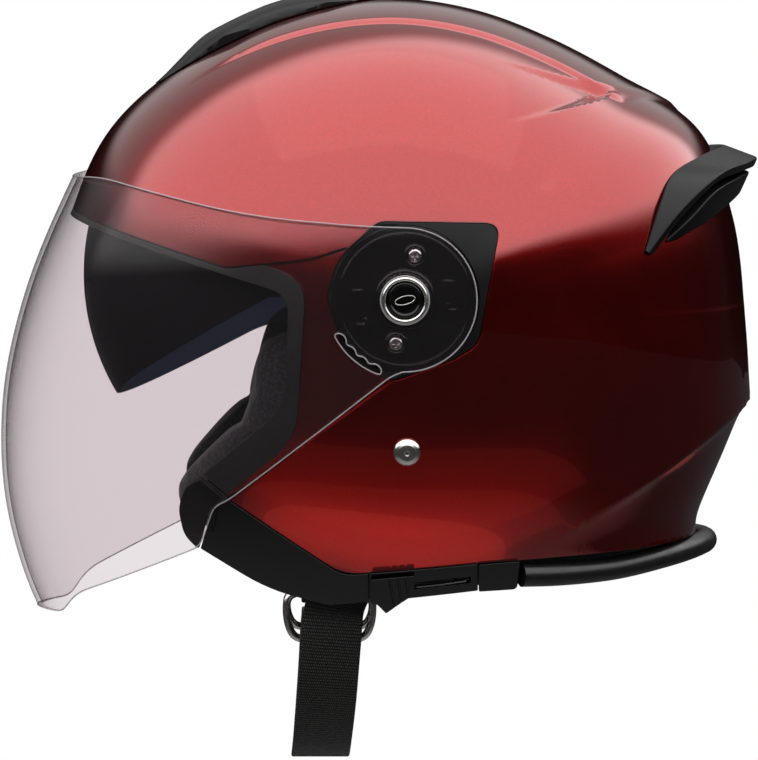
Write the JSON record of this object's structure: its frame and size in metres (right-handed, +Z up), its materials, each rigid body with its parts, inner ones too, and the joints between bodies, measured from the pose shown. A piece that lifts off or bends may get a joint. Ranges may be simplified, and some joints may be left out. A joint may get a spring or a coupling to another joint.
{
  "type": "open-face motorcycle helmet",
  "caption": "Open-face helmet with a long hinged clear visor, a drop-down smoke sun visor, crown and rear vents and a webbing chin strap with D-rings.",
  "frame": {"origin": "centre of the wearer's head, on the mid-plane", "axes": "+Z up, the face opening looks along -Y, +X is the wearer's left"},
  "size_m": [0.2546, 0.3246, 0.3301],
  "materials": {
    "paint": "deep metallic red under gloss lacquer",
    "foam": "matt black moulded foam",
    "fabric": "brushed knit",
    "rubber": "matt black",
    "satin": "satin black",
    "gloss": "gloss black",
    "clear": "clear hard-coated polycarbonate",
    "smoke": "dark smoke polycarbonate",
    "steel": "bright nickel plate",
    "webbing": "ribbed black nylon webbing"
  },
  "bodies": {
    "helmet": {"outer_shell": "paint", "impact_liner": "foam", "crown_pad": "fabric", "neck_pad": "fabric", "cheek_pad_left": "fabric", "cheek_pad_right": "fabric", "eye_port_gasket": "rubber", "chin_cap_left": "gloss", "chin_cap_right": "gloss", "cheek_trim_left": "satin", "cheek_trim_right": "satin", "trim_joiner_left": "gloss", "trim_joiner_right": "gloss", "slider_track_left": "gloss", "side_trim_right": "gloss", "neck_roll": "rubber", "pivot_plate_left": "satin", "pivot_plate_right": "satin", "visor_hub_left": "steel", "visor_hub_right": "steel", "button_spring_left": "steel", "button_spring_right": "steel", "upper_plate_screw_left": "steel", "upper_plate_screw_right": "steel", "lower_plate_screw_left": "steel", "lower_plate_screw_right": "steel", "sun_visor_pin_left": "steel", "sun_visor_pin_right": "steel", "sun_visor_bracket_left": "satin", "sun_visor_bracket_right": "satin", "crown_vent": "satin", "rear_spoiler": "satin", "rear_exhaust_vent": "satin", "strap_rivet_left": "steel", "strap_rivet_right": "steel", "strap_anchor_plate_left": "steel", "strap_anchor_plate_right": "steel", "long_strap": "webbing", "short_strap": "webbing"},
    "visor_shield": {"visor": "clear"},
    "sun_lens": {"sun_visor": "smoke"},
    "rim_slider": {"sun_visor_slider": "gloss"},
    "button_left": {"release_button_left": "gloss"},
    "button_right": {"release_button_right": "gloss"},
    "vent_shutter": {"crown_vent_slider": "gloss"},
    "ring_inner": {"inner_d_ring": "steel"},
    "ring_outer": {"outer_d_ring": "steel"}
  },
  "joints": [
    {"name": "visor_hinge", "type": "hinge", "parent": "helmet", "child": "visor_shield", "pos_m": [0, 0.0016, 0.0075], "axis": [-1, 0, 0], "range_deg": [0, 55]},
    {"name": "sun_visor_hinge", "type": "hinge", "parent": "helmet", "child": "sun_lens", "pos_m": [0, -0.036, 0.012], "axis": [-1, 0, 0], "range_deg": [0, 50]},
    {"name": "sun_visor_slide", "type": "slide", "parent": "helmet", "child": "rim_slider", "axis": [0.0599, 0.9921, 0.1102], "range_m": [0, 0.027]},
    {"name": "left_release", "type": "slide", "parent": "helmet", "child": "button_left", "axis": [-1, 0, 0], "range_m": [0, 0.0024], "stiffness_N_per_m": 600, "deforming": ["button_spring_left"]},
    {"name": "right_release", "type": "slide", "parent": "helmet", "child": "button_right", "axis": [1, 0, 0], "range_m": [0, 0.0024], "stiffness_N_per_m": 600, "deforming": ["button_spring_right"]},
    {"name": "crown_vent_slide", "type": "slide", "parent": "helmet", "child": "vent_shutter", "axis": [0, 0.9397, 0.342], "range_m": [0, 0.007]},
    {"name": "inner_ring_hinge", "type": "hinge", "parent": "helmet", "child": "ring_inner", "pos_m": [-0.078, -0.031, -0.135], "axis": [0, 1, 0], "range_deg": [-4, 4]},
    {"name": "outer_ring_hinge", "type": "hinge", "parent": "helmet", "child": "ring_outer", "pos_m": [-0.0824, -0.031, -0.135], "axis": [0, 1, 0], "range_deg": [-4, 4]}
  ],
  "couplings": [
    {"joint": "sun_visor_slide", "follows": "sun_visor_hinge", "m_per_rad": 0.0309}
  ]
}
